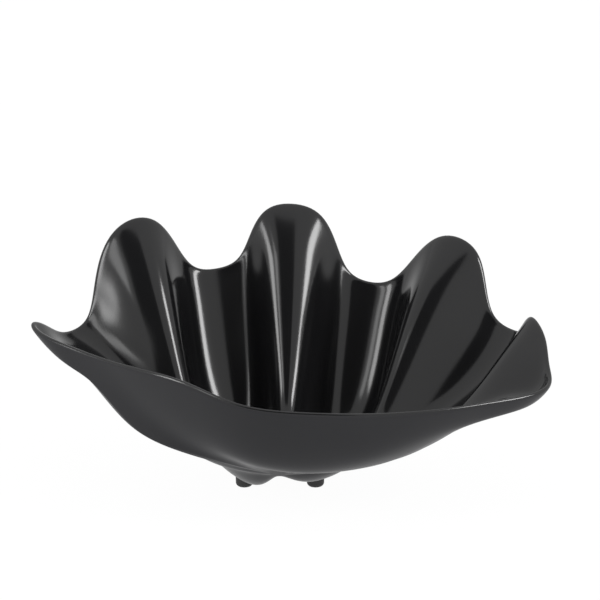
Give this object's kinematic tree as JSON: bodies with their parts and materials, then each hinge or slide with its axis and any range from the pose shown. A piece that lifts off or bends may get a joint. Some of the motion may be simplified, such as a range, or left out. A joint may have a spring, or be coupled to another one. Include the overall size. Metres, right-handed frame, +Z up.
{
  "type": "clam shell serving bowl",
  "caption": "Glossy moulded serving bowl in the form of a fluted clam shell with a fanned wavy rim, standing on small round rubber feet.",
  "frame": {"origin": "on the bench under the middle of the bowl's length and depth", "axes": "+X along the length toward the bowl's low corner, +Y toward the tall fanned back, +Z up"},
  "size_m": [0.4352, 0.265, 0.2095],
  "materials": {
    "shell": "high-gloss moulded black",
    "foot": "matt black rubber"
  },
  "bodies": {
    "root": {"shell_bowl": "shell", "foot_front_left": "foot", "foot_front_right": "foot", "foot_rear_left": "foot", "foot_rear_right": "foot"}
  },
  "joints": []
}
